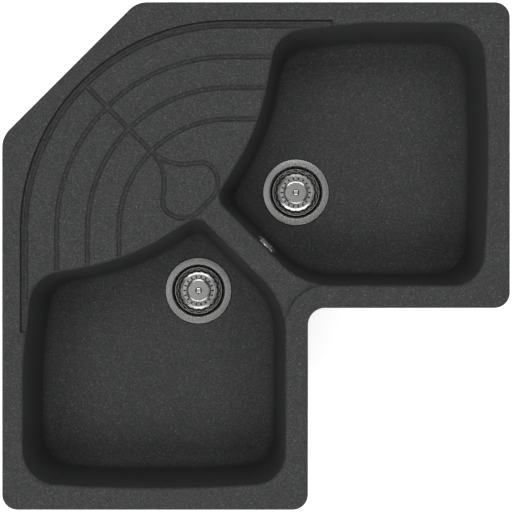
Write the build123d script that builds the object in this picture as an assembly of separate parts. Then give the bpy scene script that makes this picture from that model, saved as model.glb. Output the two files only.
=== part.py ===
from build123d import *
import math
import os

# Corner kitchen sink of cast granite composite, in millimetres.
# Plan: +X right, +Y up as seen from above, back corner at -X +Y, the cook stands at the notch (+X -Y).
# Height: z = 0 is the worktop, on which the underside of the rim rests.

# ---- plan of the casting ----
side_length = 830.0          # both long sides
wing_depth = 500.0           # depth of each arm of the L
chamfer_leg = 220.0          # cut-off back corner, measured along each side
outer_corner_radius = 25.0
chamfer_end_radius = 40.0
notch_corner_radius = 28.0   # the inner corner in front of the cook
seat_width = 10.0            # width of the flat underside that lies on the worktop

# ---- heights of the casting ----
rim_height = 9.0
rim_edge_radius = 5.5
drainer_drop = 4.0           # the drainer and the bridge lie this much below the rim
plate_thickness = 9.0
step_run = 3.5               # width of the slope between rim and drainer

# ---- bowls: the right one is drawn, the left one is its mirror image in the diagonal ----
bowl_depth = 200.0           # from the rim's top to the floor
wall_draft = 5.5             # degrees
wall_thickness = 9.0
floor_thickness = 10.0
floor_radius = 22.0
lip_radius = 6.0             # rounding of the bowl's top edge
back_rim = 33.5              # rim width behind the bowl
side_rim = 31.1              # rim width at the middle of the bulging side
side_lean = 3.5              # degrees, each half of the bulging side
notch_rim = 36.5             # rim width along the notch
bridge_half_width = 19.3     # half of the bridge between the bowls
tip_distance = 113.8         # from the plan's centre to the bowl's sharp tip, along the diagonal
waist_x = 5.3                # bend of the long edge beside the drainer
waist_y = 211.9
shoulder_x = 34.0            # corner between the drainer edge and the back edge
shoulder_drop = 14.7
shoulder_end_x = 174.5       # where the back edge becomes parallel to the rim
tip_radius = 22.5
waist_radius = 380.0
shoulder_radius = 54.0
shoulder_end_radius = 300.0
back_corner_radius = 57.0
side_bulge_radius = 2400.0
front_corner_radius = 52.0
bridge_corner_radius = 120.0

# ---- drainer ----
drainer_centre = 44.0        # the grooves' centre lies at (-44, 44)
drainer_radius = 335.5       # foot of the step round the drainer
step_end_x = 125.0           # where the step runs into the bowl
groove_radii = [332.5, 282.0, 231.5, 180.0]
groove_depth = 2.2
groove_half_floor = 2.0
groove_half_width = 4.6
groove_shoulder = 3.0        # rounding of the groove's edges
drop_tail = 207.0            # drop-shaped groove, distances from the centre along the diagonal
drop_shoulder = 164.0
drop_end = 118.0
drop_shoulder_half = 54.0
drop_end_half = 45.0
drop_radii = [75.0, 24.0, 36.0]
drop_parting = 0.16          # radians of the first bend that the halves share
tap_radius = 17.5            # blind tap hole under the drop, to be knocked through
tap_hole_depth = 5.0
tap_distance = 155.0
tap_clearance = 7.5          # room for the tap's nut, free of ribs

# ---- underside ----
rib_thickness = 8.0
rib_depth = 14.0
rib_angles = [112.0, 135.0, 158.0]
boss_radius = 8.0
boss_depth = 22.0            # below the worktop plane
boss_inset = 19.5            # from the outer edge to the clip screws
bush_radius = 5.0
bush_length = 18.0
seal_inset = 2.5
seal_width = 5.0
seal_thickness = 2.0

# ---- fixing clips, for a worktop 38 mm thick ----
worktop_thickness = 38.0
screw_radius = 2.5
screw_head_radius = 5.0
screw_head_height = 3.5
clip_thickness = 2.0
clip_width = 14.0
clip_reach = 15.0            # from the screw to the gripping lip
clip_drop = 4.0              # the strip lies this much lower at the screw than at the lip
turn_clearance = 0.05        # radial, between a clip and its screw

# ---- wastes, 3 1/2 inch, heights from the bowl floor ----
right_waste = (68.6, 109.2)
left_waste = (-98.6, -59.4)
waste_hole_radius = 45.0
flange_radius = 57.0
flange_thickness = 1.2
flange_crown = 0.7           # fall of the flange's top from its bend to its edge
flange_edge = 1.0            # width and fall of the edge's rounding
flange_edge_drop = 0.3
gasket_thickness = 1.2
rebate_depth = 1.9
rebate_gap = 0.6
throat_radius = 43.4
throat_bend = 2.4            # from the throat to the flat of the flange
cup_wall = 1.2
cup_depth = 24.0
cup_bend = 4.0               # height of the bend between the cup's floor and its wall
throat_lean = 1.0            # the throat narrows by this much
throat_end = 14.0            # below the bowl floor; the seat starts here
seat_radius = 38.0
window_inner = 22.0          # the cup's floor is open between these radii, but for a cross
window_outer = 33.0
window_bar = 6.0
under_gasket = 2.5
body_flange_radius = 54.0
body_flange_thickness = 4.0
body_radius = 48.0
body_wall = 2.6
body_straight = 52.0         # the wall is straight down to here
body_cone_end = 66.0
body_end = 86.0
outlet_radius = 23.9         # 1 1/2 inch pipe thread
outlet_bore = 20.0
hub_radius = 11.0
hub_top = 30.0
hub_bottom = 50.0
spider_top = 44.0
spider_bar = 5.0
waste_screw_radius = 5.0
waste_screw_head = 9.0
waste_screw_head_height = 3.5
waste_screw_end = 48.0
screw_clearance = 0.3
nut_radius = 8.0
nut_height = 7.0
post_bore = 3.5
post_bore_depth = 33.0

# ---- strainer baskets ----
basket_radius = 40.0
basket_sheet = 0.9
basket_top = 5.0             # below the bowl floor
basket_rim = 1.2             # height of the flanged rim, and how far it stands out
basket_rim_width = 1.0
basket_foot_radius = 31.0
basket_foot_flat = 3.0
basket_floor = 18.2
basket_disc_radius = 18.0
basket_disc_edge = 1.0
basket_disc_fall = 4.5       # height of the steep part under the disc's edge
basket_disc_top = 11.0
hole_ring = 24.0
strainer_count = 18
strainer_hole = (4.2, 2.7)   # length along the radius and width
slot_width = 6.2
slot_top = 8.5
slot_bottom = 19.4
slot_bite = 0.4              # how far the slots reach into the flat of the foot
knob_radius = 6.0
knob_base = 4.2
knob_neck = 3.4
knob_top = 3.0
post_radius = 2.4
post_gap = 0.2               # radial, between the post and the seal
post_end = 31.0
basket_nut_radius = 4.6
basket_nut_height = 4.0
seal_radius = 35.0           # closes the windows in the cup's floor
seal_gap = 0.3               # between the seal and the cup's floor, and round the screw's head
seal_neck = 4.5              # wall of the seal's neck round the basket nut
seal_neck_height = 5.0
spring_clip_radius = 3.2
spring_clip_height = 5.0

# ---- overflow of the right bowl ----
overflow_depth = 52.0        # below the rim's top
overflow_hole = 16.0
rosette_radius = 21.0
rosette_rise = 4.4
rosette_sheet = 1.2
rosette_dimple = 1.6         # the screw head sits in a hollow this deep
rosette_screw_gap = 0.2
rosette_slots = 6
rosette_slot = (7.0, 3.0)    # length and width
overflow_gasket_thickness = 2.0
elbow_radius = 21.0
elbow_depth = 20.0
elbow_wall = 2.5
core_wall = 2.5              # round the overflow's screw, inside the elbow
overflow_screw_radius = 2.5
overflow_screw_head = 4.5
spigot_radius = 10.0
spigot_bore = 8.0
spigot_end = 88.0            # lower end of the elbow's spigot, below the worktop plane
inlet_height = 34.0          # the waste bodies' side inlets, below the bowl floor
inlet_reach = 72.0
hose_top = 70.0
hose_bend = 45.0
hose_valley = 11.4
hose_crest = 13.0
rib_pitch = 4.0
hose_grip = 20.0             # length of hose on each spigot
clamp_width = 8.0
clamp_thickness = 1.2
clamp_gap = 0.1
clamp_inset = 6.0            # from the hose's end to the clamp
worm_housing = (6.0, 12.0)
cap_wall = 2.5
cap_gap = 4.0                # from the waste body's wall to the inlet's cap

half = side_length / 2
notch_edge = half - wing_depth
drainer_z = rim_height - drainer_drop
plate_z = drainer_z - plate_thickness
floor_z = rim_height - bowl_depth
draft = math.tan(math.radians(wall_draft))
root2 = math.sqrt(2)
diagonal = Plane(origin=(0, 0, 0), z_dir=(1, 1, 0))


def tube(outer, inner, low, high):
    # upright ring between two heights
    ring = Circle(outer) - Circle(inner)
    return extrude(Plane.XY.offset(low) * ring, amount=high - low)


def rod(radius, low, high):
    return extrude(Plane.XY.offset(low) * Circle(radius), amount=high - low)


def turned(points):
    # solid of revolution about Z from (radius, height) points
    profile = Plane.XZ * make_face(Polyline(*points, close=True))
    return revolve(profile, axis=Axis.Z)


def grow_polygon(points, distance):
    # moves every side of a counter-clockwise polygon outwards
    grown = []
    count = len(points)
    for i in range(count):
        before = Vector(*points[i - 1])
        here = Vector(*points[i])
        after = Vector(*points[(i + 1) % count])
        a = (here - before).normalized()
        b = (after - here).normalized()
        bisector = Vector(a.Y, -a.X) + Vector(b.Y, -b.X)
        scale = distance / (1 + a.dot(b))
        grown.append((here.X + bisector.X * scale, here.Y + bisector.Y * scale))
    return grown


def rounded_plan(points, radii, grow):
    # the casting's plan, grown or shrunk; the notch corner turns the other way
    new_radii = []
    for corner, radius in zip(points, radii):
        outwards = -1 if corner == notch_corner else 1
        new_radii.append(max(radius + outwards * grow, 1.0))
    return make_face(FilletPolyline(*grow_polygon(points, grow), radius=new_radii, close=True))


# ---- plan outline ----
notch_corner = (notch_edge * -1, notch_edge)
outline_points = [
    (-half, -half),
    (-notch_edge, -half),
    notch_corner,
    (half, notch_edge),
    (half, half),
    (-half + chamfer_leg, half),
    (-half, half - chamfer_leg),
]
outline_radii = [
    outer_corner_radius,
    outer_corner_radius,
    notch_corner_radius,
    outer_corner_radius,
    outer_corner_radius,
    chamfer_end_radius,
    chamfer_end_radius,
]

# ---- bowl outline at the rim's top, counter-clockwise from the tip ----
back_y = half - back_rim
front_y = notch_edge + notch_rim
side_middle_y = (back_y + front_y) / 2
side_x = half - side_rim
lean = math.tan(math.radians(side_lean)) * (back_y - side_middle_y)
bridge_sum = bridge_half_width * root2
tip_x = (bridge_sum - tip_distance * root2) / 2
bowl_corners = [
    ((tip_x, bridge_sum - tip_x), tip_radius),
    ((bridge_sum - front_y, front_y), bridge_corner_radius),
    ((side_x - lean, front_y), front_corner_radius),
    ((side_x, side_middle_y), side_bulge_radius),
    ((side_x - lean, back_y), back_corner_radius),
    ((shoulder_end_x, back_y), shoulder_end_radius),
    ((shoulder_x, back_y - shoulder_drop), shoulder_radius),
    ((waist_x, waist_y), waist_radius),
]


def drafted_bowl(grow, depth, bottom_radius):
    # block with the bowl's plan, leaning walls and rounded edges; grow 0 gives the hollow itself
    points = grow_polygon([corner for corner, radius in bowl_corners], grow)
    face = Plane.XY.offset(rim_height) * make_face(Polyline(*points, close=True))
    block = extrude(face, amount=depth, dir=(0, 0, -1), taper=wall_draft)
    for point, (corner, radius) in zip(points, bowl_corners):
        turn = grow if radius != waist_radius else -grow
        top = Vector(point[0], point[1], rim_height)
        upright = [e for e in block.edges() if min((e @ 0 - top).length, (e @ 1 - top).length) < 0.01]
        upright = [e for e in upright if abs((e @ 0).Z - (e @ 1).Z) > depth / 2]
        block = fillet(upright, radius + turn)
    bottom = block.faces().sort_by(Axis.Z)[0]
    return fillet(bottom.edges(), bottom_radius)


def lipped_slab(face, low, high, hollows, edge_radius):
    # slab with both bowls cut out, the bowls' edges rounded and, if asked, the outer edge too
    slab = extrude(Plane.XY.offset(low) * face, amount=high - low)
    for hollow in hollows:
        slab = slab - hollow
    top = slab.faces().sort_by(Axis.Z)[-1]
    inner_edges = [e for wire in top.inner_wires() for e in wire.edges()]
    outer_edges = top.outer_wire().edges()
    slab = fillet(inner_edges, lip_radius)
    if edge_radius:
        top = slab.faces().sort_by(Axis.Z)[-1]
        slab = fillet(top.outer_wire().edges(), edge_radius)
    return slab


def recess_face():
    # plan of the lowered drainer and bridge, at the foot of the step
    c = drainer_centre
    arc = CenterArc((-c, c), drainer_radius, 90, 90)
    far = waste_hole_radius * 2 + step_end_x
    inside_y = front_y + lip_radius * 4
    right = [
        (-c, c + drainer_radius),
        (step_end_x, c + drainer_radius),
        (far, c + drainer_radius - lip_radius * 3),
        (far, inside_y),
        (-notch_edge + notch_corner_radius, front_y + lip_radius / 4),
    ]
    left = [(-y, -x) for x, y in reversed(right)]
    border = Polyline(*right, (-notch_edge, notch_edge), *left)
    face = make_face(border + arc)
    notch_centre = (-notch_edge + notch_corner_radius, notch_edge - notch_corner_radius)
    band = Pos(*notch_centre) * Circle(notch_corner_radius + notch_rim + lip_radius / 4)
    return face - band


def diagonal_point(along, across):
    # along grows towards the cook, across towards the right bowl
    return ((along + across) / root2, (across - along) / root2, drainer_z)


def groove(path):
    # round-edged channel cut along a path that lies in the drainer's surface
    start = path @ 0
    heading = path % 0
    w, f, d = groove_half_width, groove_half_floor, groove_depth
    over = 0.1
    side = 2 * w
    profile = [(-side, over), (-w, over), (-f, -d), (f, -d), (w, over), (side, over)]
    low_line = FilletPolyline(*profile, radius=[groove_shoulder, f, f, groove_shoulder])
    cap = Polyline((side, over), (side, side), (-side, side), (-side, over))
    plane = Plane(origin=start, x_dir=Vector(0, 0, 1).cross(heading), z_dir=heading)
    return sweep(plane * make_face(low_line + cap), path=path)


def ring_groove(radius):
    # quarter circle about the drainer's centre, running straight into both bowls
    c = drainer_centre
    reach = step_end_x
    first = Line((reach, c + radius, drainer_z), (-c, c + radius, drainer_z))
    middle = CenterArc((-c, c, drainer_z), radius, 90, 90)
    last = Line((-c - radius, c, drainer_z), (-c - radius, -reach, drainer_z))
    return groove(Wire([first.edge(), middle.edge(), last.edge()]))


def drop_half(side):
    # starts on the bend, where the two halves have parted inside the diagonal groove
    points = [
        diagonal_point(-drop_tail - drop_radii[0], 0),
        diagonal_point(-drop_tail, 0),
        diagonal_point(-drop_shoulder, side * drop_shoulder_half),
        diagonal_point(-drop_end, side * drop_end_half),
        diagonal_point(-drop_end, 0),
    ]
    path = FilletPolyline(*points, radius=drop_radii)
    straight = path.edges()[0].length
    return groove(path.trim((straight + drop_radii[0] * drop_parting) / path.length, 1))


# ---- where the clips sit: name number, place and outward direction ----
edge_line = half - boss_inset
notch_line = notch_edge + boss_inset
chamfer_line = half - chamfer_leg / 2 - boss_inset / root2
clip_places = [
    (-chamfer_line, chamfer_line, 135),
    (-60.0, edge_line, 90),
    (240.0, edge_line, 90),
    (edge_line, side_middle_y, 0),
    (250.0, notch_line, 270),
    (-notch_line, -250.0, 0),
    (-side_middle_y, -edge_line, 270),
    (-edge_line, -240.0, 180),
    (-edge_line, 60.0, 180),
]


def waste_cut(x, y):
    # hole through the bowl floor with a shallow rebate for the flange
    hole = Pos(x, y) * rod(waste_hole_radius, floor_z - floor_thickness - 1, floor_z + 1)
    rebate_top = floor_z + floor_radius
    return hole + Pos(x, y) * rod(flange_radius + rebate_gap, floor_z - rebate_depth, rebate_top)


def overflow_plane():
    # on the right bowl's bridge wall, looking into the bowl
    z = rim_height - overflow_depth
    wall = bridge_half_width + overflow_depth * draft
    lift = math.tan(math.radians(wall_draft)) * root2
    return Plane(origin=(wall / root2, wall / root2, z), x_dir=(-1, 1, 0), z_dir=(1, 1, lift))


def build_casting():
    hollow_right = drafted_bowl(0, bowl_depth, floor_radius)
    shell_depth = bowl_depth + floor_thickness
    shell_right = drafted_bowl(wall_thickness, shell_depth, floor_radius + wall_thickness)
    hollow_left = mirror(hollow_right, about=diagonal)
    shell_left = mirror(shell_right, about=diagonal)
    hollows = [hollow_right, hollow_left]

    outline = rounded_plan(outline_points, outline_radii, 0)
    rim_slab = lipped_slab(outline, 0, rim_height, hollows, rim_edge_radius)
    inner = rounded_plan(outline_points, outline_radii, -seat_width)
    below = extrude(Plane.XY.offset(plate_z) * inner, amount=-plate_z)
    room = Plane.XY.offset(rim_height - lip_radius) * Rectangle(side_length, side_length)
    shell_top = extrude(room, amount=bowl_depth)

    recess = recess_face()
    column = extrude(Plane.XY.offset(plate_z / 2) * recess, amount=drainer_z - plate_z / 2)
    slope = math.degrees(math.atan(step_run / drainer_drop))
    top_face = Plane.XY.offset(drainer_z) * recess
    flare = extrude(top_face, amount=drainer_drop + 1, taper=-slope)
    big = Rectangle(2 * side_length, 2 * side_length)
    drainer_slab = lipped_slab(big, plate_z / 2, drainer_z, hollows, 0) & column

    casting = rim_slab + below
    casting = casting + (shell_right - shell_top) + (shell_left - shell_top)
    for angle in rib_angles:
        run = Plane.XY.offset(plate_z - rib_depth) * Rot(0, 0, angle)
        bar = Pos(drainer_radius / 2, 0) * Rectangle(drainer_radius, rib_thickness)
        rib = extrude(run * bar, amount=rib_depth)
        casting = casting + Pos(-drainer_centre, drainer_centre) * rib
    for x, y, angle in clip_places:
        casting = casting + Pos(x, y) * rod(boss_radius, -boss_depth, 0)
    for hollow in hollows:
        casting = casting - hollow
    casting = casting - column - flare
    casting = casting + drainer_slab
    for radius in groove_radii:
        casting = casting - ring_groove(radius)
    start = -(drainer_centre * root2 + groove_radii[0])
    tail = Line(diagonal_point(start, 0), diagonal_point(-drop_tail - drop_radii[0] / 4, 0))
    casting = casting - groove(Wire([tail.edge()]))
    for side in (1, -1):
        casting = casting - drop_half(side)
    for x, y in (right_waste, left_waste):
        casting = casting - waste_cut(x, y)
    for x, y, angle in clip_places:
        casting = casting - Pos(x, y) * rod(bush_radius, -boss_depth - 1, -boss_depth + bush_length)
    tap_at = Pos(-tap_distance / root2, tap_distance / root2)
    casting = casting - tap_at * rod(tap_radius + tap_clearance, plate_z - rib_depth - 1, plate_z)
    casting = casting - tap_at * rod(tap_radius, plate_z - 1, plate_z + tap_hole_depth)
    through = overflow_plane() * Circle(overflow_hole)
    casting = casting - extrude(through, amount=wall_thickness * 2, both=True)
    groove_outer = rounded_plan(outline_points, outline_radii, -seal_inset)
    groove_inner = rounded_plan(outline_points, outline_radii, -seal_inset - seal_width)
    seal = extrude(groove_outer - groove_inner, amount=seal_thickness)
    return casting - seal, seal


# ---- wastes: everything drawn with the bowl floor at z = 0 ----
def flange_solid():
    t = flange_thickness
    top = gasket_thickness - rebate_depth + t
    bend = throat_radius + throat_bend
    low = cup_depth + cup_wall
    upper = [
        (waste_screw_radius + screw_clearance, -cup_depth),
        (seat_radius - 1.0, -cup_depth),
        (seat_radius, -cup_depth + cup_bend),
        (throat_radius - throat_lean, -throat_end),
        (throat_radius, top - 3.0),
        (bend - 1.6, top - 0.7),
        (bend, top),
        (flange_radius - flange_edge, top - flange_crown),
        (flange_radius, top - flange_crown - flange_edge_drop),
    ]
    lower = [
        (flange_radius, top - t),
        (bend, top - t),
        (waste_hole_radius - 0.7, top - t - 1.6),
        (throat_radius - throat_lean + cup_wall, -throat_end - 0.3),
        (seat_radius + cup_wall, -cup_depth + cup_bend - 0.4),
        (seat_radius + 0.2, -low),
        (waste_screw_radius + screw_clearance, -low),
    ]
    cup = turned(upper + lower)
    windows = tube(window_outer, window_inner, -low - 1, -cup_depth + 1)
    cross = Rectangle(2 * window_outer + 1, window_bar) + Rectangle(window_bar, 2 * window_outer + 1)
    windows = windows - extrude(Plane.XY.offset(-low - 2) * cross, amount=cup_wall + 4)
    return cup - windows


def body_solid(angle):
    # plastic housing clamped under the floor, with its outlet and its overflow inlet
    top = -floor_thickness - under_gasket
    inside = body_radius - body_wall
    flange_low = top - body_flange_thickness
    shell = turned([
        (inside, top),
        (body_flange_radius, top),
        (body_flange_radius, flange_low),
        (body_radius, flange_low),
        (body_radius, -body_straight),
        (outlet_radius, -body_cone_end),
        (outlet_radius, -body_end),
        (outlet_bore, -body_end),
        (outlet_bore, -body_cone_end),
        (inside, -body_straight),
    ])
    arms = Rectangle(2 * inside + 1, spider_bar) + Rectangle(spider_bar, 2 * inside + 1)
    spider = extrude(Plane.XY.offset(-hub_bottom) * arms, amount=hub_bottom - spider_top)
    hub = rod(hub_radius, -hub_bottom, -hub_top)
    inlet = Plane(origin=(inside + 1, 0, -inlet_height), z_dir=(1, 0, 0))
    pipe = extrude(inlet * Circle(spigot_radius), amount=inlet_reach - inside - 1)
    pipe_bore = extrude(inlet.offset(-body_wall) * Circle(spigot_bore), amount=inlet_reach)
    body = shell + spider + hub + Rot(0, 0, angle) * pipe - Rot(0, 0, angle) * pipe_bore
    body = body - rod(waste_screw_radius + screw_clearance, -hub_bottom - 1, -hub_top + 1)
    return body - rod(nut_radius, -hub_bottom - 1, -hub_bottom + nut_height)


def waste_screw_solid():
    top = -cup_depth + waste_screw_head_height
    screw = rod(waste_screw_radius, -waste_screw_end, -cup_depth) + rod(waste_screw_head, -cup_depth, top)
    return screw - rod(post_bore, -post_bore_depth, top + 1)


def basket_solid():
    s = basket_sheet
    r = basket_radius
    fall_z = -basket_disc_top - basket_disc_fall
    outside = [
        (post_radius, -basket_disc_top),
        (basket_disc_radius - basket_disc_edge, -basket_disc_top),
        (basket_disc_radius, -basket_disc_top - basket_disc_edge),
        (basket_disc_radius + 2.5, fall_z),
        (basket_foot_radius - basket_foot_flat, -basket_floor),
        (basket_foot_radius, -basket_floor),
        (basket_foot_radius + 1.5, -basket_floor + 1.5),
        (r - basket_rim_width - 0.6, -basket_top - basket_rim),
        (r - basket_rim_width, -basket_top),
        (r, -basket_top),
        (r, -basket_top - basket_rim),
        (r - 0.6, -basket_top - basket_rim),
    ]
    inside = [
        (basket_foot_radius + 2.2, -basket_floor + s),
        (basket_foot_radius + 0.4, -basket_floor - s),
        (basket_foot_radius - basket_foot_flat - 0.4, -basket_floor - s),
        (basket_disc_radius + 2.0, fall_z - s),
        (basket_disc_radius - s - 0.1, -basket_disc_top - 1.2 - s),
        (basket_disc_radius - s - 0.7, -basket_disc_top - s),
        (post_radius, -basket_disc_top - s),
    ]
    shell = turned(outside + inside)
    step = 360 / strainer_count
    for i in range(strainer_count):
        spot = Plane.XY.offset(-basket_floor - 3) * Rot(0, 0, i * step) * Pos(hole_ring, 0)
        hole = extrude(spot * SlotOverall(*strainer_hole), amount=basket_floor + 3 - basket_disc_top)
        near = basket_foot_radius - slot_bite
        size = (r - basket_rim_width - 0.5 - near, slot_width, slot_bottom - slot_top)
        slot = Pos(near + size[0] / 2, 0, -(slot_top + slot_bottom) / 2) * Box(*size)
        shell = shell - hole - Rot(0, 0, (i + 0.5) * step) * slot
    return shell


def post_solid():
    stem = rod(post_radius, -post_end, -basket_disc_top)
    knob = turned([
        (0, -basket_disc_top),
        (knob_base, -basket_disc_top),
        (knob_neck, -basket_disc_top + 2.0),
        (knob_radius - 0.6, -knob_top - 2.6),
        (knob_radius, -knob_top - 1.8),
        (knob_radius - 0.5, -knob_top - 0.6),
        (knob_radius - 2.0, -knob_top),
        (0, -knob_top),
    ])
    return stem + knob


def seal_solid():
    under_disc = -basket_disc_top - basket_sheet
    low = -cup_depth + seal_gap
    head_room = -cup_depth + waste_screw_head_height + 2 * seal_gap
    collar = basket_nut_radius + 0.1
    nut_low = under_disc - basket_nut_height
    return turned([
        (post_radius + post_gap, nut_low - 0.1),
        (collar, nut_low - 0.1),
        (collar, under_disc),
        (collar + seal_neck, under_disc),
        (collar + seal_neck, under_disc - seal_neck_height),
        (hole_ring - 4.0, -basket_floor - basket_sheet - 0.5),
        (seal_radius, -basket_floor - basket_sheet - 1.3),
        (seal_radius, low),
        (waste_screw_head + 4 * seal_gap, low),
        (waste_screw_head + 2 * seal_gap, head_room),
        (post_radius + post_gap, head_room),
    ])


def hose_solid(top, level, heading, reach):
    # ribbed hose: down between the bowls, round one bend and level into the waste body
    turn_start = level + hose_bend
    straight = top - turn_start
    quarter = math.pi / 2 * hose_bend
    total = straight + quarter + reach - hose_bend
    count = int(total / rib_pitch)
    pitch = total / count
    steps = [(0, hose_valley), (0.25, hose_crest), (0.5, hose_crest), (0.75, hose_valley)]
    marks = [((i + share) * pitch, size) for i in range(count) for share, size in steps]
    marks.append((total, hose_valley))
    sideways = Vector(-heading.Y, heading.X, 0)
    sections = []
    for distance, size in marks:
        turned_by = min(max((distance - straight) / hose_bend, 0), math.pi / 2)
        drop = min(distance, straight) + hose_bend * math.sin(turned_by)
        out = hose_bend * (1 - math.cos(turned_by)) + max(distance - straight - quarter, 0)
        course = heading * math.sin(turned_by) + Vector(0, 0, -math.cos(turned_by))
        plane = Plane(origin=heading * out + Vector(0, 0, top - drop), x_dir=sideways, z_dir=course)
        sections.append(plane * Circle(size))
    outer = loft(sections, ruled=True)
    start = Vector(0, 0, top + 1)
    corner = Vector(0, 0, level)
    bore_path = FilletPolyline(start, corner, corner + heading * (reach + 1), radius=hose_bend)
    plane = Plane(origin=start, x_dir=sideways, z_dir=(0, 0, -1))
    return outer - sweep(plane * Circle(spigot_radius), path=bore_path)


def clamp_solid(plane):
    inner = hose_crest + clamp_gap
    band = Circle(inner + clamp_thickness) - Circle(inner)
    housing = Pos(inner + clamp_thickness + 2.5, 0) * Rectangle(*worm_housing)
    return extrude(plane * (band + (housing - Circle(inner))), amount=clamp_width)


def clip_solid():
    # bent strip on its screw, at the origin, reaching along +X, the lip just under the worktop
    grip = -worktop_thickness - 0.3
    low = grip - clip_drop
    t = clip_thickness
    profile = [
        (-clip_width / 2, low - t),
        (screw_head_radius + 1.0, low - t),
        (clip_reach - 4.0, grip - t),
        (clip_reach, grip - t),
        (clip_reach, grip),
        (clip_reach - 5.0, grip),
        (screw_head_radius, low),
        (-clip_width / 2, low),
    ]
    side_face = Plane.XZ * make_face(Polyline(*profile, close=True))
    strip = extrude(side_face, amount=clip_width / 2, both=True)
    plan = Circle(clip_width / 2) + Pos(clip_reach / 2, 0) * Rectangle(clip_reach, clip_width)
    strip = strip & extrude(Plane.XY.offset(low - t - 1) * plan, amount=clip_drop + t + 2)
    return strip - rod(screw_radius + turn_clearance, low - t - 1, grip + 1)


parts = {}
casting, seal = build_casting()
parts["sink_body"] = casting
parts["rim_seal"] = seal

clip_low = -worktop_thickness - 0.3 - clip_drop - clip_thickness
bushes = []
screws = []
for number, (x, y, angle) in enumerate(clip_places, start=1):
    turn = Pos(x, y) * Rot(0, 0, angle)
    parts[f"fixing_clip_{number}"] = turn * clip_solid()
    bushes.append(turn * tube(bush_radius, screw_radius, -boss_depth, -boss_depth + bush_length))
    head_top = clip_low - turn_clearance
    screw = rod(screw_radius, head_top, -boss_depth + bush_length - 1)
    screw = screw + rod(screw_head_radius, head_top - screw_head_height, head_top)
    slot = Pos(0, 0, head_top - screw_head_height) * Box(2 * screw_head_radius, 1.2, 2.4)
    screws.append(turn * (screw - slot))
parts["clip_bushes"] = Compound(bushes)
parts["clip_screws"] = Compound(screws)

overflow_at = overflow_plane()
elbow_centre = overflow_gasket_thickness + wall_thickness + elbow_depth / 2 + elbow_wall
elbow_axis = overflow_at.origin - overflow_at.z_dir * elbow_centre
hose_at = (elbow_axis.X, elbow_axis.Y)
inlet_angles = {
    "right": math.degrees(math.atan2(hose_at[1] - right_waste[1], hose_at[0] - right_waste[0])),
    "left": math.degrees(math.atan2(hose_at[1] - left_waste[1], hose_at[0] - left_waste[0])),
}
gasket_top = gasket_thickness - rebate_depth
for side, (x, y) in (("right", right_waste), ("left", left_waste)):
    place = Pos(x, y, floor_z)
    parts[f"{side}_waste_flange"] = place * flange_solid()
    gasket = tube(flange_radius - 1.5, waste_hole_radius + 1, -rebate_depth, gasket_top)
    parts[f"{side}_flange_gasket"] = place * gasket
    low = -floor_thickness - under_gasket
    gasket = tube(body_flange_radius, body_radius - body_wall, low, -floor_thickness)
    parts[f"{side}_floor_gasket"] = place * gasket
    parts[f"{side}_waste_body"] = place * body_solid(inlet_angles[side])
    parts[f"{side}_waste_screw"] = place * waste_screw_solid()
    nut_low = -hub_bottom
    nut = tube(nut_radius, waste_screw_radius, nut_low, nut_low + nut_height)
    parts[f"{side}_waste_nut"] = place * nut
    parts[f"{side}_basket_shell"] = place * basket_solid()
    parts[f"{side}_basket_post"] = place * post_solid()
    under_disc = -basket_disc_top - basket_sheet
    basket_nut = tube(basket_nut_radius, post_radius, under_disc - basket_nut_height, under_disc)
    parts[f"{side}_basket_nut"] = place * basket_nut
    parts[f"{side}_basket_seal"] = place * seal_solid()
    spring = tube(spring_clip_radius, post_radius, -post_end + 1, -post_end + 1 + spring_clip_height)
    parts[f"{side}_basket_clip"] = place * spring

# ---- overflow ----
back = -wall_thickness
gasket_back = back - overflow_gasket_thickness
hollow_z = rosette_rise - rosette_dimple
sheet = rosette_sheet
dome = turned([
    (overflow_screw_radius + rosette_screw_gap, hollow_z - sheet),
    (overflow_screw_radius + rosette_screw_gap, hollow_z),
    (overflow_screw_head + 1.4, hollow_z),
    (overflow_screw_head + 2.6, rosette_rise - 0.2),
    (rosette_radius * 0.6, rosette_rise),
    (rosette_radius - 2.6, rosette_rise - 0.4),
    (rosette_radius - 0.6, rosette_rise - 1.8),
    (rosette_radius, rosette_rise - 3.2),
    (rosette_radius, 0),
    (rosette_radius - sheet, 0),
    (rosette_radius - sheet, rosette_rise - 3.4),
    (rosette_radius - 3.0, rosette_rise - 0.5 - sheet),
    (overflow_screw_head + 3.2, rosette_rise - 0.3 - sheet),
    (overflow_screw_head + 2.0, hollow_z - sheet),
])
slot_size = (*rosette_slot, 3 * rosette_rise)
for i in range(rosette_slots):
    turn = Rot(0, 0, (i + 0.5) * 360 / rosette_slots)
    dome = dome - turn * Pos(rosette_radius * 0.66, 0, rosette_rise) * Box(*slot_size)
parts["overflow_rosette"] = overflow_at * dome
shank = rod(overflow_screw_radius, gasket_back - elbow_depth + elbow_wall, hollow_z)
head = rod(overflow_screw_head, hollow_z, rosette_rise - rosette_screw_gap)
parts["overflow_screw"] = overflow_at * (shank + fillet(head.edges().sort_by(Axis.Z)[-1], 0.8))
parts["overflow_gasket"] = overflow_at * tube(elbow_radius, overflow_hole, gasket_back, back)

chamber = rod(elbow_radius, gasket_back - elbow_depth - elbow_wall, gasket_back)
inside = rod(elbow_radius - elbow_wall, gasket_back - elbow_depth, gasket_back)
core = rod(overflow_screw_radius + core_wall, gasket_back - elbow_depth, gasket_back)
core_bore = rod(overflow_screw_radius, gasket_back - elbow_depth + elbow_wall, gasket_back + 1)
elbow = overflow_at * (chamber - inside + core)
spigot = Pos(*hose_at) * rod(spigot_radius, -spigot_end, elbow_axis.Z)
elbow = elbow + (spigot - overflow_at * rod(elbow_radius - elbow_wall / 2, -60, 60))
bore_top = elbow_axis.Z - overflow_screw_radius - core_wall - 1.0
elbow = elbow - Pos(*hose_at) * rod(spigot_bore, -spigot_end - 1, bore_top)
parts["overflow_elbow"] = elbow - overflow_at * core_bore

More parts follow.
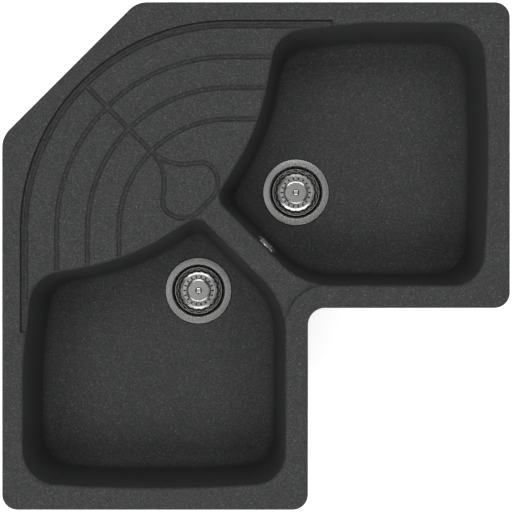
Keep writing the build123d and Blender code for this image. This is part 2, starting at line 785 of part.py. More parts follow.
hose_direction = Vector(right_waste[0] - hose_at[0], right_waste[1] - hose_at[1], 0)
hose_length = hose_direction.length - inlet_reach + hose_grip
hose_direction = hose_direction.normalized()
hose_level = floor_z - inlet_height
hose = hose_solid(-hose_top, hose_level, hose_direction, hose_length)
parts["overflow_hose"] = Pos(*hose_at) * hose
upper_spot = (hose_at[0], hose_at[1], -hose_top - clamp_inset)
upper_plane = Plane(origin=upper_spot, x_dir=(-1, 1, 0), z_dir=(0, 0, -1))
parts["upper_hose_clamp"] = clamp_solid(upper_plane)
lower_spot = Vector(hose_at[0], hose_at[1], hose_level) + hose_direction * (hose_length - clamp_inset)
lower_plane = Plane(origin=lower_spot, x_dir=(0, 0, -1), z_dir=hose_direction * -1)
parts["lower_hose_clamp"] = clamp_solid(lower_plane)

cap_turn = Pos(left_waste[0], left_waste[1], floor_z - inlet_height) * Rot(0, 0, inlet_angles["left"])
cap = Plane(origin=(body_radius + cap_gap, 0, 0), z_dir=(1, 0, 0))
cap_length = inlet_reach - body_radius - cap_gap + cap_wall
sleeve = Circle(spigot_radius + cap_wall) - Circle(spigot_radius)
end_disc = Plane(origin=(inlet_reach, 0, 0), z_dir=(1, 0, 0)) * Circle(spigot_radius + cap_wall)
cap_solid = extrude(cap * sleeve, amount=cap_length) + extrude(end_disc, amount=cap_wall)
parts["inlet_cap"] = cap_turn * cap_solid

os.makedirs("parts", exist_ok=True)
for name, shape in parts.items():
    export_step(shape, f"parts/{name}.step")
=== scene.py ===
import math

import bmesh
import bpy
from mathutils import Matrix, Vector


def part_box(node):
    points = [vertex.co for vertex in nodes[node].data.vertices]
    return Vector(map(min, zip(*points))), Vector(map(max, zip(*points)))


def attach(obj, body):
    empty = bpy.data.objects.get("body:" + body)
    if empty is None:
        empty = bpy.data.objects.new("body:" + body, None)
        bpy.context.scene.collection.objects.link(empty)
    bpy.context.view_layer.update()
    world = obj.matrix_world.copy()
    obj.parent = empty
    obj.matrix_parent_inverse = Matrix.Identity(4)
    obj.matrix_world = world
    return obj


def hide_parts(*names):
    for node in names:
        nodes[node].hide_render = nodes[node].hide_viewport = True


# Corner sink in dark granite composite, seen from straight above.
# Everything is in metres, z = 0 is the worktop and the plan's middle is the origin.

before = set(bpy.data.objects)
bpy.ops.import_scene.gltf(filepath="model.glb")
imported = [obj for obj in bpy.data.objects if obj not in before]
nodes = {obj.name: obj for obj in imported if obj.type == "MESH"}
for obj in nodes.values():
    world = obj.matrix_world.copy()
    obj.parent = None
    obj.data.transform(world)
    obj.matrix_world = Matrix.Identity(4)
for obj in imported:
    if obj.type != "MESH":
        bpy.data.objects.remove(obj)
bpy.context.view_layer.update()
print("frame loaded:", len(nodes), "nodes")


def startMaterial(name, **values):
    # a material with one Principled shader, its plain values set on the sockets
    mat = bpy.data.materials.new(name)
    mat.use_nodes = True
    tree = mat.node_tree
    tree.nodes.clear()
    output = tree.nodes.new("ShaderNodeOutputMaterial")
    shader = tree.nodes.new("ShaderNodeBsdfPrincipled")
    tree.links.new(shader.outputs["BSDF"], output.inputs["Surface"])
    for socket, value in values.items():
        shader.inputs[socket.replace("_", " ")].default_value = value
    return mat, tree, shader


def addNode(tree, kind, inputs=None, **settings):
    # inputs holds plain values or output sockets to link
    node = tree.nodes.new("ShaderNode" + kind)
    for key, value in settings.items():
        setattr(node, key, value)
    for key, value in (inputs or {}).items():
        if isinstance(value, bpy.types.NodeSocket):
            tree.links.new(value, node.inputs[key])
        else:
            node.inputs[key].default_value = value
    return node


def addRamp(tree, factor, stops):
    # stops are (position, colour)
    node = tree.nodes.new("ShaderNodeValToRGB")
    ramp = node.color_ramp
    while len(ramp.elements) < len(stops):
        ramp.elements.new(0.5)
    for element, (position, tint) in zip(ramp.elements, stops):
        element.position = position
        element.color = (*tint, 1.0)
    tree.links.new(factor, node.inputs["Fac"])
    return node.outputs["Color"]


def grey(value):
    return (value, value, value)


def shadeOf(tint, share):
    return tuple(channel * share for channel in tint)


def mixColours(tree, factor, first, second, blend="MIX"):
    node = addNode(tree, "Mix", data_type="RGBA", blend_type=blend)
    for key, value in ((0, factor), (6, first), (7, second)):
        if isinstance(value, bpy.types.NodeSocket):
            tree.links.new(value, node.inputs[key])
        else:
            node.inputs[key].default_value = value
    return node.outputs[2]


def addBump(tree, shader, height, depth, strength):
    bump = addNode(tree, "Bump", {"Height": height, "Distance": depth, "Strength": strength})
    tree.links.new(bump.outputs["Normal"], shader.inputs["Normal"])


def noiseAt(tree, coords, scale, detail, roughness=0.5):
    inputs = {"Vector": coords, "Scale": scale, "Detail": detail, "Roughness": roughness}
    return addNode(tree, "TexNoise", inputs).outputs["Fac"]


def grainAt(tree, coords, scale):
    # one random value for each grain, and how far the point is from the grain's middle
    cells = addNode(tree, "TexVoronoi", {"Vector": coords, "Scale": scale})
    split = addNode(tree, "SeparateColor", {"Color": cells.outputs["Color"]})
    return split.outputs["Red"], cells.outputs["Distance"]


graniteLook = {
    "base": (0.0385, 0.0392, 0.0395),
    "fineGrain": 1150.0,       # grains in a metre
    "coarseGrain": 600.0,
    # brightness of the grains against the base, from the darkest grains to the few light ones
    "fineShades": [(0.0, 0.60), (0.45, 0.88), (0.78, 1.05), (0.93, 1.55), (1.0, 2.3)],
    "coarseShades": [(0.0, 0.78), (0.50, 0.94), (0.86, 1.05), (0.96, 1.36), (1.0, 1.9)],
    "mottle": 46.0,            # soft clouds in the tone, and how far they go
    "mottleShades": (0.93, 1.07),
    "skinScale": 1500.0,       # the cast skin's fine unevenness
    "skinDepth": 0.00010,
    "specular": 0.15,
    "gloss": (0.56, 0.74),     # roughness from grain to grain
    "paintedShadeReach": 0.012,      # painted shade: grooves and inner corners are darkened in the colour within this distance
    "paintedShadeOpen": (0.68, 0.985),   # openness of the spots with the darkest painted shade and of those without it
    # share of the colour left where the painted shade is darkest
    "paintedShadeDark": 0.25,
}


def graniteMaterial(name, look):
    mat, tree, shader = startMaterial(name, Specular_IOR_Level=look["specular"])
    coords = addNode(tree, "TexCoord").outputs["Object"]
    fineValue, fineShape = grainAt(tree, coords, look["fineGrain"])
    coarseValue = grainAt(tree, coords, look["coarseGrain"])[0]
    fine = addRamp(tree, fineValue, [(at, shadeOf(look["base"], share)) for at, share in look["fineShades"]])
    coarse = addRamp(tree, coarseValue, [(at, grey(share)) for at, share in look["coarseShades"]])
    grains = mixColours(tree, 1.0, fine, coarse, "MULTIPLY")
    cloud = noiseAt(tree, coords, look["mottle"], 4.0, 0.6)
    dark, light = look["mottleShades"]
    shade = addRamp(tree, cloud, [(0.25, grey(dark)), (0.75, grey(light))])
    colour = mixColours(tree, 1.0, grains, shade, "MULTIPLY")
    # painted shade: ambient occlusion darkens the colour in grooves and inner corners
    openness = addNode(tree, "AmbientOcclusion", {"Distance": look["paintedShadeReach"]}, samples=8)
    deep, flush = look["paintedShadeOpen"]
    depth = addRamp(tree, openness.outputs["AO"], [(deep, grey(look["paintedShadeDark"])), (flush, grey(1.0))])
    colour = mixColours(tree, 1.0, colour, depth, "MULTIPLY")
    tree.links.new(colour, shader.inputs["Base Color"])
    smooth, rough = look["gloss"]
    gloss = addRamp(tree, fineValue, [(0.0, grey(smooth)), (1.0, grey(rough))])
    tree.links.new(gloss, shader.inputs["Roughness"])
    skin = noiseAt(tree, coords, look["skinScale"], 2.0, 0.55)
    relief = mixColours(tree, 0.5, skin, fineShape)
    addBump(tree, shader, relief, look["skinDepth"], 0.6)
    return mat


metalSkin = {
    "cloudScale": 180.0,       # soft stains, and how dark they get
    "cloudShade": 0.90,
    "smearScale": 420.0,       # wear in the gloss, from bright to dull
    "smearReach": (0.85, 1.25),
    "grainScale": 900.0,       # unevenness of a pressed or plated face
    "grainDepth": 0.000005,
    "ringScale": 1500.0,       # turned lines round the piece's own axis
    "ringDepth": 0.000006,
    "ringPull": 0.3,           # how far a highlight stretches across the lines
    "ringTurn": 0.25,
}


def metalMaterial(name, tint, roughness, isTurned):
    skin = metalSkin
    mat, tree, shader = startMaterial(name, Metallic=1.0)
    coords = addNode(tree, "TexCoord").outputs["Object"]
    cloud = noiseAt(tree, coords, skin["cloudScale"], 3.0)
    tone = addRamp(tree, cloud, [(0.3, shadeOf(tint, skin["cloudShade"])), (0.7, tint)])
    tree.links.new(tone, shader.inputs["Base Color"])
    bright, dull = skin["smearReach"]
    smear = noiseAt(tree, coords, skin["smearScale"], 2.0)
    gloss = addRamp(tree, smear, [(0.3, grey(roughness * bright)), (0.7, grey(roughness * dull))])
    tree.links.new(gloss, shader.inputs["Roughness"])
    if isTurned:
        flat = addNode(tree, "VectorMath", {0: coords, 1: (1.0, 1.0, 0.0)}, operation="MULTIPLY")
        radius = addNode(tree, "VectorMath", {0: flat.outputs[0]}, operation="LENGTH")
        lines = addNode(tree, "TexNoise", {
            "W": radius.outputs["Value"], "Scale": skin["ringScale"], "Detail": 3.0}, noise_dimensions="1D")
        addBump(tree, shader, lines.outputs["Fac"], skin["ringDepth"], 0.8)
        tangent = addNode(tree, "Tangent", direction_type="RADIAL", axis="Z")
        tree.links.new(tangent.outputs["Tangent"], shader.inputs["Tangent"])
        shader.inputs["Anisotropic"].default_value = skin["ringPull"]
        shader.inputs["Anisotropic Rotation"].default_value = skin["ringTurn"]
    else:
        addBump(tree, shader, noiseAt(tree, coords, skin["grainScale"], 3.0), skin["grainDepth"], 0.6)
    return mat


softSkin = {
    "cloudScale": 90.0,        # dust and shade in the colour
    "wearScale": 260.0,        # patches that are handled more
    "wearReach": (0.85, 1.2),
}


def softMaterial(name, tint, roughness, spread, grain, depth):
    # moulded plastic, rubber or foam: spread is the change in its colour, grain and depth its skin
    skin = softSkin
    mat, tree, shader = startMaterial(name)
    coords = addNode(tree, "TexCoord").outputs["Object"]
    cloud = noiseAt(tree, coords, skin["cloudScale"], 4.0, 0.6)
    tone = addRamp(tree, cloud, [(0.3, shadeOf(tint, 1 - spread)), (0.7, shadeOf(tint, 1 + spread))])
    tree.links.new(tone, shader.inputs["Base Color"])
    smooth, dull = skin["wearReach"]
    wear = noiseAt(tree, coords, skin["wearScale"], 3.0)
    gloss = addRamp(tree, wear, [(0.3, grey(roughness * smooth)), (0.7, grey(min(roughness * dull, 1.0)))])
    tree.links.new(gloss, shader.inputs["Roughness"])
    addBump(tree, shader, noiseAt(tree, coords, grain, 2.0), depth, 0.7)
    return mat


# name, tint, roughness, and whether it shows turned lines
metals = {
    "turnedSteel": ("turned satin steel", (0.62, 0.62, 0.61), 0.22, True),
    "pressedSteel": ("polished pressed steel", (0.74, 0.74, 0.73), 0.16, False),
    "chrome": ("bright chrome", (0.86, 0.86, 0.86), 0.07, False),
    "satinChrome": ("satin chrome", (0.80, 0.80, 0.80), 0.26, False),
    "clipSteel": ("galvanised clip steel", (0.52, 0.53, 0.54), 0.38, False),
    "screwSteel": ("zinc plated screw", (0.60, 0.60, 0.57), 0.30, False),
    "brass": ("brass insert", (0.78, 0.58, 0.28), 0.28, False),
}
# name, tint, roughness, spread, grains in a metre and their depth
softGoods = {
    "bushPlastic": ("grey nylon bush", (0.16, 0.16, 0.17), 0.5, 0.12, 1400.0, 0.00004),
    "whitePlastic": ("white moulded plastic", (0.74, 0.75, 0.75), 0.38, 0.04, 1400.0, 0.00004),
    "hosePlastic": ("grey hose plastic", (0.42, 0.43, 0.44), 0.42, 0.05, 1400.0, 0.00004),
    "rubber": ("black rubber", (0.018, 0.018, 0.019), 0.62, 0.12, 1400.0, 0.00004),
    "sealFoam": ("foam sealing strip", (0.045, 0.045, 0.047), 0.85, 0.12, 2200.0, 0.00012),
}

finishes = {"granite": graniteMaterial("anthracite granite composite", graniteLook)}
for finish, values in metals.items():
    finishes[finish] = metalMaterial(*values)
for finish, values in softGoods.items():
    finishes[finish] = softMaterial(*values)
print("finishes made:", len(finishes))


# which CAD nodes get which finish
dressing = {
    "granite": ["sink_body"],
    "sealFoam": ["rim_seal"],
    "clipSteel": [f"fixing_clip_{number}" for number in range(1, 10)],
    "screwSteel": ["clip_screws", "right_waste_screw", "left_waste_screw", "upper_hose_clamp",
                   "lower_hose_clamp", "right_basket_clip", "left_basket_clip"],
    "bushPlastic": ["clip_bushes"],
    "turnedSteel": ["right_waste_flange", "left_waste_flange"],
    "pressedSteel": ["right_basket_shell", "left_basket_shell"],
    "chrome": ["right_basket_post", "left_basket_post"],
    "satinChrome": ["overflow_rosette", "overflow_screw"],
    "brass": ["right_waste_nut", "left_waste_nut", "right_basket_nut", "left_basket_nut"],
    "rubber": ["right_flange_gasket", "left_flange_gasket", "right_floor_gasket", "left_floor_gasket",
               "right_basket_seal", "left_basket_seal", "overflow_gasket"],
    "whitePlastic": ["right_waste_body", "left_waste_body", "overflow_elbow", "inlet_cap"],
    "hosePlastic": ["overflow_hose"],
}

for finish, names in dressing.items():
    for name in names:
        node = nodes[name]
        if not node.material_slots:
            node.data.materials.append(None)
        for slot in node.material_slots:
            slot.material = finishes[finish]
print("CAD nodes dressed")


def roundedLine(corners, arcSteps):
    # corners are (radius, height, bend radius) in millimetres; every bend becomes an arc
    line = [Vector(corners[0][:2])]
    for i in range(1, len(corners) - 1):
        here = Vector(corners[i][:2])
        back = Vector(corners[i - 1][:2]) - here
        ahead = Vector(corners[i + 1][:2]) - here
        half = back.angle(ahead) / 2
        cut = min(corners[i][2] / math.tan(half), 0.49 * back.length, 0.49 * ahead.length)
        if cut < 0.01:
            line.append(here)
            continue
        back.normalize()
        ahead.normalize()
        radius = cut * math.tan(half)
        middle = here + (back + ahead).normalized() * (radius / math.sin(half))
        start = here + back * cut - middle
        end = here + ahead * cut - middle
        for step in range(arcSteps + 1):
            spoke = start.slerp(end, step / arcSteps)
            line.append(middle + spoke * radius)
    line.append(Vector(corners[-1][:2]))
    return line


def addRows(line, radii):
    # puts extra rows into an outward running line at these radii
    rows = list(line)
    for radius in radii:
        for i in range(len(rows) - 1):
            a, b = rows[i], rows[i + 1]
            if a.x < radius - 1e-4 and b.x > radius + 1e-4:
                rows.insert(i + 1, a.lerp(b, (radius - a.x) / (b.x - a.x)))
                break
    return rows


def polarSheet(name, rows, columnsAt, isOpen, copies):
    # sheet of quads round the Z axis; columnsAt gives one copy's angles at a row, isOpen leaves cells out
    bm = bmesh.new()
    grid = []
    for row in rows:
        ring = []
        for copy in range(copies):
            turn = 2 * math.pi * copy / copies
            for angle in columnsAt(row):
                x = row.x * math.cos(turn + angle)
                y = row.x * math.sin(turn + angle)
                ring.append(bm.verts.new((x / 1000, y / 1000, row.y / 1000)))
        grid.append(ring)
    around = len(grid[0])
    perCopy = around // copies
    for r in range(len(rows) - 1):
        middle = (rows[r] + rows[r + 1]) / 2
        for c in range(around):
            if isOpen(middle, c % perCopy):
                continue
            d = (c + 1) % around
            bm.faces.new((grid[r + 1][c], grid[r + 1][d], grid[r][d], grid[r][c]))
    mesh = bpy.data.meshes.new(name)
    loose = [v for v in bm.verts if not v.link_faces]
    bmesh.ops.delete(bm, geom=loose, context="VERTS")
    bm.to_mesh(mesh)
    bm.free()
    return mesh


def evenColumns(count):
    angles = [2 * math.pi * i / count for i in range(count)]
    return lambda row: angles


def neverOpen(middle, column):
    return False


def finishPiece(name, mesh, finish, thickness=0.0, sharpAngle=40.0):
    # gives the sheet its thickness, smooth shading and finish
    piece = bpy.data.objects.new(name, mesh)
    bpy.context.scene.collection.objects.link(piece)
    if thickness:
        solid = piece.modifiers.new("sheet", "SOLIDIFY")
        solid.thickness = thickness / 1000
        solid.offset = -1.0
        graph = bpy.context.evaluated_depsgraph_get()
        piece.data = bpy.data.meshes.new_from_object(piece.evaluated_get(graph))
        piece.modifiers.clear()
    for face in piece.data.polygons:
        face.use_smooth = True
    piece.data.set_sharp_from_angle(angle=math.radians(sharpAngle))
    piece.data.materials.clear()
    piece.data.materials.append(finishes[finish])
    return piece


def mountPiece(piece, body, replaced, place, axis=None):
    # puts the piece in place of its CAD node
    piece.location = place
    if axis:
        piece.rotation_euler = axis.to_track_quat("Z", "Y").to_euler()
    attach(piece, body)
    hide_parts(replaced)


flangeLook = {
    "thickness": 1.1,
    "zeroDown": 0.5,           # height 0 of the waste's sections lies this far under the CAD flange's top
    "windowCount": 4,
    "windows": (22.0, 33.0),   # radii of the windows in the cup's floor
    "windowBar": 6.0,
    "sideColumns": 26,         # across each window
    "arcSteps": 8,
    # centre of the cup, its bend, the throat, the lip and the crowned flange
    "section": [
        (5.4, -24.0, 0), (22.0, -24.0, 0), (33.0, -24.0, 0), (37.6, -24.0, 2.6), (42.3, -13.8, 3.0),
        (43.5, 0.62, 3.0), (50.5, 0.40, 30), (56.2, 0.06, 0.9), (56.9, -0.60, 0),
    ],
}


def makeFlange(side, place):
    look = flangeLook
    inner, outer = look["windows"]
    step = 2 * math.pi / look["windowCount"]

    def columnsAt(row):
        half = math.asin(look["windowBar"] / 2 / min(max(row.x, inner), outer))
        gap = (step - 2 * half) / look["sideColumns"]
        return [-half, 0.0] + [half + gap * i for i in range(look["sideColumns"])]

    def isOpen(middle, column):
        # the first two columns make the bar beside each window
        return column >= 2 and inner < middle.x < outer

    rows = roundedLine(look["section"], look["arcSteps"])
    mesh = polarSheet(f"{side}Flange", rows, columnsAt, isOpen, look["windowCount"])
    piece = finishPiece(f"{side}Flange", mesh, "turnedSteel", look["thickness"])
    mountPiece(piece, "sink", f"{side}_waste_flange", place)


basketLook = {
    "thickness": 0.8,
    "holes": 18,               # in the floor, and as many slots in the wall, half a step on
    "holeRing": 24.0,
    "holeSize": (2.3, 1.45),   # half length along the radius and half width
    "slotHalf": 3.2,
    "slotEnds": (30.7, 38.2),  # radii where the slots begin and end
    "squareness": 2.5,         # how much squarer the slots end under the rim than at the foot
    "closedHalf": 0.15,        # half width of a cell where holes and slots end
    # disc, its steep edge, the floor with the holes, the foot, the wall and the rim
    "section": [
        (2.45, -11.0, 0), (16.8, -11.02, 6.0), (20.0, -11.6, 0.9), (20.9, -17.6, 0.9), (27.2, -17.8, 8.0),
        (32.2, -16.9, 2.2), (38.5, -6.2, 0.6), (39.1, -5.05, 0.4), (39.9, -5.1, 0),
    ],
    "extraRows": 10,           # rows along each hole and each end of a slot
    "arcSteps": 10,
}


def makeBasket(side, place):
    look = basketLook
    step = 2 * math.pi / look["holes"]
    halfLength, halfWidth = look["holeSize"]
    slotIn, slotOut = look["slotEnds"]

    def holeAt(radius):
        reach = (radius - look["holeRing"]) / halfLength
        if abs(reach) >= 1:
            return look["closedHalf"]
        return max(halfWidth * math.sqrt(1 - reach * reach), look["closedHalf"])

    def slotAt(radius):
        # round at the foot, nearly square under the rim
        into = min(radius - slotIn, (slotOut - radius) * look["squareness"])
        into = min(max(into, 0.0), look["slotHalf"])
        rest = look["slotHalf"] - into
        return max(math.sqrt(look["slotHalf"] ** 2 - rest ** 2), look["closedHalf"])

    def columnsAt(row):
        hole = holeAt(row.x) / row.x
        slot = step / 2 - slotAt(row.x) / row.x
        bar = (slot - hole) / 3
        right = [hole, hole + bar, hole + 2 * bar, slot]
        return [-step / 2] + [-angle for angle in reversed(right)] + [0.0] + right

    def isOpen(middle, column):
        # cells 4 and 5 lie beside the hole's centre line, 0 and 9 beside the slot's
        inHole = abs(middle.x - look["holeRing"]) < halfLength
        inSlot = slotIn < middle.x < slotOut
        return (inHole and column in (4, 5)) or (inSlot and column in (0, 9))

    count = look["extraRows"]
    turns = [math.cos(math.pi * i / count) for i in range(count + 1)]
    radii = [look["holeRing"] + halfLength * turn for turn in turns]
    radii += [slotIn + look["slotHalf"] * (1 - turn) / 2 for turn in turns]
    radii += [slotOut - look["slotHalf"] / look["squareness"] * (1 - turn) / 2 for turn in turns]
    rows = addRows(roundedLine(look["section"], look["arcSteps"]), radii)
    mesh = polarSheet(f"{side}Basket", rows, columnsAt, isOpen, look["holes"])
    piece = finishPiece(f"{side}Basket", mesh, "pressedSteel", look["thickness"])
    mountPiece(piece, f"{side}_basket", f"{side}_basket_shell", place)


def closeEnds(mesh):
    # fills the small round holes at both ends of a turned piece
    bm = bmesh.new()
    bm.from_mesh(mesh)
    bmesh.ops.holes_fill(bm, edges=[e for e in bm.edges if e.is_boundary])
    bm.to_mesh(mesh)
    bm.free()


knobLook = {
    "columns": 72,
    "arcSteps": 6,
    # from the middle of the knob's top, round its edge and down the stem
    "section": [
        (0.05, -3.12, 0), (2.9, -3.02, 2.5), (4.8, -3.42, 1.0), (5.96, -5.3, 1.4), (5.4, -7.0, 1.0),
        (3.3, -8.6, 1.6), (3.5, -10.3, 0.6), (4.3, -10.98, 0), (2.4, -10.99, 0), (2.4, -30.6, 0.4),
        (2.0, -31.0, 0), (0.05, -31.0, 0),
    ],
}


def makeKnob(side, place):
    rows = roundedLine(knobLook["section"], knobLook["arcSteps"])
    mesh = polarSheet(f"{side}Knob", rows, evenColumns(knobLook["columns"]), neverOpen, 1)
    closeEnds(mesh)
    piece = finishPiece(f"{side}Knob", mesh, "chrome")
    mountPiece(piece, f"{side}_basket", f"{side}_basket_post", place)


for side in ("right", "left"):
    low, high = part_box(f"{side}_waste_flange")
    middle = (low + high) / 2
    wasteAt = (middle.x, middle.y, high.z - flangeLook["zeroDown"] / 1000)
    makeFlange(side, wasteAt)
    makeBasket(side, wasteAt)
    makeKnob(side, wasteAt)
print("wastes and baskets made")


rosetteLook = {
    "thickness": 1.0,
    "slots": 6,
    "slotRadii": (10.4, 17.4),
    "slotHalf": 1.5,
    "closedHalf": 0.12,
    "barColumns": 10,          # between two slots
    "extraRows": 8,
    "arcSteps": 8,
    "radius": 21.0,
    "wallDraft": 5.5,          # slant of the bowl's wall in degrees
    # dimple round the screw, crown and rolled edge
    "section": [
        (2.7, 2.75, 0), (5.6, 2.75, 0.8), (7.4, 4.1, 1.6), (12.6, 4.38, 20), (18.4, 3.9, 4.0),
        (20.6, 2.2, 2.0), (20.98, 0.1, 0),
    ],
}


def makeRosette():
    look = rosetteLook
    step = 2 * math.pi / look["slots"]
    slotIn, slotOut = look["slotRadii"]

    def slotAt(radius):
        into = min(max(min(radius - slotIn, slotOut - radius), 0.0), look["slotHalf"])
        rest = look["slotHalf"] - into
        return max(math.sqrt(look["slotHalf"] ** 2 - rest ** 2), look["closedHalf"])

    def columnsAt(row):
        half = slotAt(row.x) / row.x
        bar = (step - 2 * half) / look["barColumns"]
        return [-half, 0.0] + [half + bar * i for i in range(look["barColumns"])]

    def isOpen(middle, column):
        return column < 2 and slotIn < middle.x < slotOut

    count = look["extraRows"]
    turns = [(1 - math.cos(math.pi * i / count)) / 2 for i in range(count + 1)]
    radii = [slotIn + look["slotHalf"] * turn for turn in turns]
    radii += [slotOut - look["slotHalf"] * turn for turn in turns]
    rows = addRows(roundedLine(look["section"], look["arcSteps"]), radii)
    mesh = polarSheet("overflowRosette", rows, columnsAt, isOpen, look["slots"])
    piece = finishPiece("overflowRosette", mesh, "satinChrome", look["thickness"])
    # it lies on the bridge wall, which leans back and faces along the diagonal
    draft = math.radians(look["wallDraft"])
    axis = Vector((math.cos(draft) / math.sqrt(2), math.cos(draft) / math.sqrt(2), math.sin(draft)))
    # its foot circle touches the low corner of its CAD box on all three sides
    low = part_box("overflow_rosette")[0]
    reach = look["radius"] / 1000
    place = Vector([low[i] + reach * math.sqrt(1 - axis[i] ** 2) for i in range(3)])
    mountPiece(piece, "sink", "overflow_rosette", place, axis)


makeRosette()
print("overflow rosette made")


hoseLook = {
    "crest": 13.0,             # radii of the ribs, the grooves between them and the bore
    "valley": 11.4,
    "bore": 10.1,
    "pitch": 4.0,
    "fullness": 0.6,           # under 1 makes the ribs rounder
    "bend": 45.0,
    "standOff": 52.0,          # from the waste's axis to the hose's end
    "rowsPerRib": 8,
    "rowsPerBoreRow": 4,       # the plain bore needs fewer rows than the ribs
    "columns": 40,
}


def makeHose():
    # ribbed hose from under the overflow straight down, round one bend and level to the right waste
    look = hoseLook
    crest, bend = look["crest"], look["bend"]
    low, high = [corner * 1000 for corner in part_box("overflow_hose")]
    start = Vector((low.x + crest, low.y + crest, high.z))
    straight = start.z - low.z - crest - bend
    wasteLow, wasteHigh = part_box("right_waste_flange")
    heading = (wasteLow + wasteHigh) / 2 * 1000 - start
    heading.z = 0.0
    run = heading.length - look["standOff"] - bend
    heading.normalize()
    sideways = Vector((-heading.y, heading.x, 0.0))
    quarter = math.pi / 2 * bend
    total = straight + quarter + run

    def ringAt(distance, radius):
        turned = min(max((distance - straight) / bend, 0.0), math.pi / 2)
        drop = min(distance, straight) + bend * math.sin(turned)
        out = bend * (1 - math.cos(turned)) + max(distance - straight - quarter, 0.0)
        centre = start + heading * out - Vector((0.0, 0.0, drop))
        across = heading * math.cos(turned) + Vector((0.0, 0.0, math.sin(turned)))
        angles = [2 * math.pi * i / look["columns"] for i in range(look["columns"])]
        return [centre + (sideways * math.cos(a) + across * math.sin(a)) * radius for a in angles]

    count = round(total / look["pitch"]) * look["rowsPerRib"]
    rings = []
    for i in range(count + 1):
        swell = 0.5 - 0.5 * math.cos(2 * math.pi * i / look["rowsPerRib"])
        radius = look["valley"] + (crest - look["valley"]) * swell ** look["fullness"]
        rings.append(ringAt(total * i / count, radius))
    inside = count // look["rowsPerBoreRow"]
    rings += [ringAt(total * (1 - i / inside), look["bore"]) for i in range(inside + 1)]
    bm = bmesh.new()
    loops = [[bm.verts.new(point / 1000) for point in ring] for ring in rings]
    for i, loop in enumerate(loops):
        ahead = loops[(i + 1) % len(loops)]
        for j in range(look["columns"]):
            k = (j + 1) % look["columns"]
            bm.faces.new((loop[j], loop[k], ahead[k], ahead[j]))
    bmesh.ops.recalc_face_normals(bm, faces=bm.faces)
    mesh = bpy.data.meshes.new("overflowHose")
    bm.to_mesh(mesh)
    bm.free()
    piece = finishPiece("overflowHose", mesh, "hosePlastic", sharpAngle=60.0)
    mountPiece(piece, "sink", "overflow_hose", (0.0, 0.0, 0.0))


makeHose()
print("overflow hose made")


stageLook = {
    "floorGap": 0.001,
    "floorSize": 9.0,
    "floorTint": (0.84, 0.84, 0.84),
    "floorShade": 0.98,            # darkest clouds in the tint
    "floorMottle": 6.0,
    "floorGlow": 0.55,             # the table is lit from below as well
    # brightness of the room from the horizon up, by the sine of the height
    "room": [(0.0, 0.90), (0.30, 0.90), (0.42, 0.18), (0.86, 0.18), (0.94, 1.0), (1.0, 1.0)],
    "overheadFrom": 0.6,           # sine of the height from which the patch straight above counts
    # that patch from its right to its left side, and how it fades to the top and bottom
    "overheadAcross": (-0.95, 0.30, 0.0),
    "overhead": [(0.30, 0.30), (0.42, 0.52), (0.50, 0.45), (0.545, 0.80), (0.59, 0.84), (0.68, 0.34)],
    "overheadFade": [(0.0, 0.90), (0.07, 0.62), (0.16, 0.32), (0.40, 0.36)],
    # long softboxes round the sink: name, direction and height in degrees, power in watts,
    # width and depth, and whether the metal shows them
    "softboxes": [
        ("south", 270, 62, 96, 4.6, 1.3, False),
        ("north", 90, 62, 60, 4.6, 1.3, False),
        ("west", 180, 62, 66, 4.6, 1.3, False),
        ("east", 0, 62, 40, 4.6, 1.3, False),
        ("corner", 225, 36, 24, 2.0, 1.4, False),
        ("northStrip", 90, 68, 12, 3.0, 0.62, True),
        ("southStrip", 270, 68, 9, 3.0, 0.62, True),
    ],
    "softboxAway": 4.2,
    "viewHeight": 4.009,           # camera above the worktop, looking straight down
    "viewWidth": 0.836,            # width of the picture at the rim
    "rimHeight": 0.009,
    "viewReach": 50.0,
}


def makeFloor(look):
    half = look["floorSize"] / 2
    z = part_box("right_waste_body")[0].z - look["floorGap"]
    mesh = bpy.data.meshes.new("floor")
    corners = [(-half, -half, z), (half, -half, z), (half, half, z), (-half, half, z)]
    mesh.from_pydata(corners, [], [(0, 1, 2, 3)])
    floor = bpy.data.objects.new("floor", mesh)
    bpy.context.scene.collection.objects.link(floor)
    mat, tree, shader = startMaterial(
        "pale floor", Roughness=0.9, Emission_Color=(1.0, 1.0, 1.0, 1.0),
        Emission_Strength=look["floorGlow"])
    coords = addNode(tree, "TexCoord").outputs["Object"]
    tone = addRamp(tree, noiseAt(tree, coords, look["floorMottle"], 3.0), [
        (0.3, shadeOf(look["floorTint"], look["floorShade"])),
        (0.7, look["floorTint"]),
    ])
    tree.links.new(tone, shader.inputs["Base Color"])
    mesh.materials.append(mat)


def addSoftbox(away, name, direction, height, power, width, depth, inMetal):
    light = bpy.data.lights.new(name, "AREA")
    light.shape = "RECTANGLE"
    light.size, light.size_y = width, depth
    light.energy = power
    holder = bpy.data.objects.new(name, light)
    bpy.context.scene.collection.objects.link(holder)
    turn, rise = math.radians(direction), math.radians(height)
    flat = away * math.cos(rise)
    holder.location = (flat * math.cos(turn), flat * math.sin(turn), away * math.sin(rise))
    holder.rotation_euler = (-holder.location).to_track_quat("-Z", "Y").to_euler()
    holder.visible_camera = False
    holder.visible_glossy = inMetal


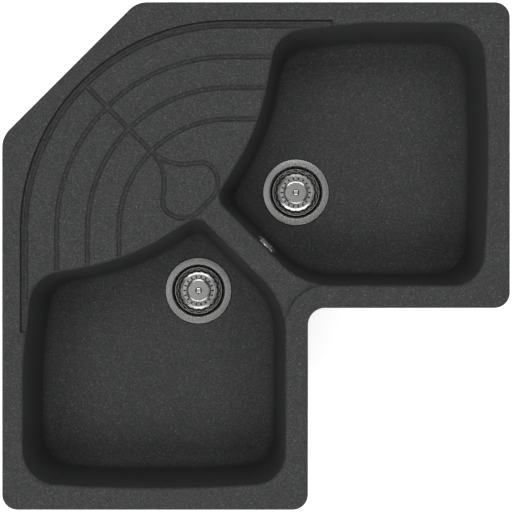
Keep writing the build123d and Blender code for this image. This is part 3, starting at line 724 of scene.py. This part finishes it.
def makeRoom(look):
    # soft light from all round, dim higher up, with a patch straight above for the metal to show
    world = bpy.data.worlds.new("soft studio")
    world.use_nodes = True
    tree = world.node_tree
    background = tree.nodes["Background"]
    direction = addNode(tree, "TexCoord").outputs["Generated"]
    height = addNode(tree, "SeparateXYZ", {"Vector": direction}).outputs["Z"]
    rising = addRamp(tree, height, [(z, grey(level)) for z, level in look["room"]])
    across = addNode(tree, "VectorMath", {0: direction, 1: look["overheadAcross"]}, operation="DOT_PRODUCT")
    shift = addNode(tree, "Math", {0: across.outputs["Value"], 1: 0.5, 2: 0.5}, operation="MULTIPLY_ADD")
    overhead = addRamp(tree, shift.outputs[0], [(at, grey(level)) for at, level in look["overhead"]])
    lengthways = addNode(tree, "SeparateXYZ", {"Vector": direction}).outputs["Y"]
    aside = addNode(tree, "Math", {0: lengthways}, operation="ABSOLUTE")
    fade = addRamp(tree, aside.outputs[0], [(at, grey(level)) for at, level in look["overheadFade"]])
    overhead = mixColours(tree, 1.0, overhead, fade, "MULTIPLY")
    above = addNode(tree, "Math", {0: height, 1: look["overheadFrom"]}, operation="GREATER_THAN")
    patch = mixColours(tree, above.outputs[0], (1.0, 1.0, 1.0, 1.0), overhead)
    glow = mixColours(tree, 1.0, rising, patch, "MULTIPLY")
    tree.links.new(glow, background.inputs["Color"])
    bpy.context.scene.world = world


def makeStage(look):
    makeFloor(look)
    makeRoom(look)
    for softbox in look["softboxes"]:
        addSoftbox(look["softboxAway"], *softbox)
    bpy.context.scene.view_settings.view_transform = "Standard"


def makeCamera(look):
    data = bpy.data.cameras.new("viewCamera")
    data.sensor_fit = "HORIZONTAL"
    distance = look["viewHeight"] - look["rimHeight"]
    data.angle = 2 * math.atan(look["viewWidth"] / 2 / distance)
    data.clip_end = look["viewReach"]
    camera = bpy.data.objects.new("viewCamera", data)
    bpy.context.scene.collection.objects.link(camera)
    camera.location = (0.0, 0.0, look["viewHeight"])
    bpy.context.scene.camera = camera


makeStage(stageLook)
makeCamera(stageLook)
print("stage and camera set")
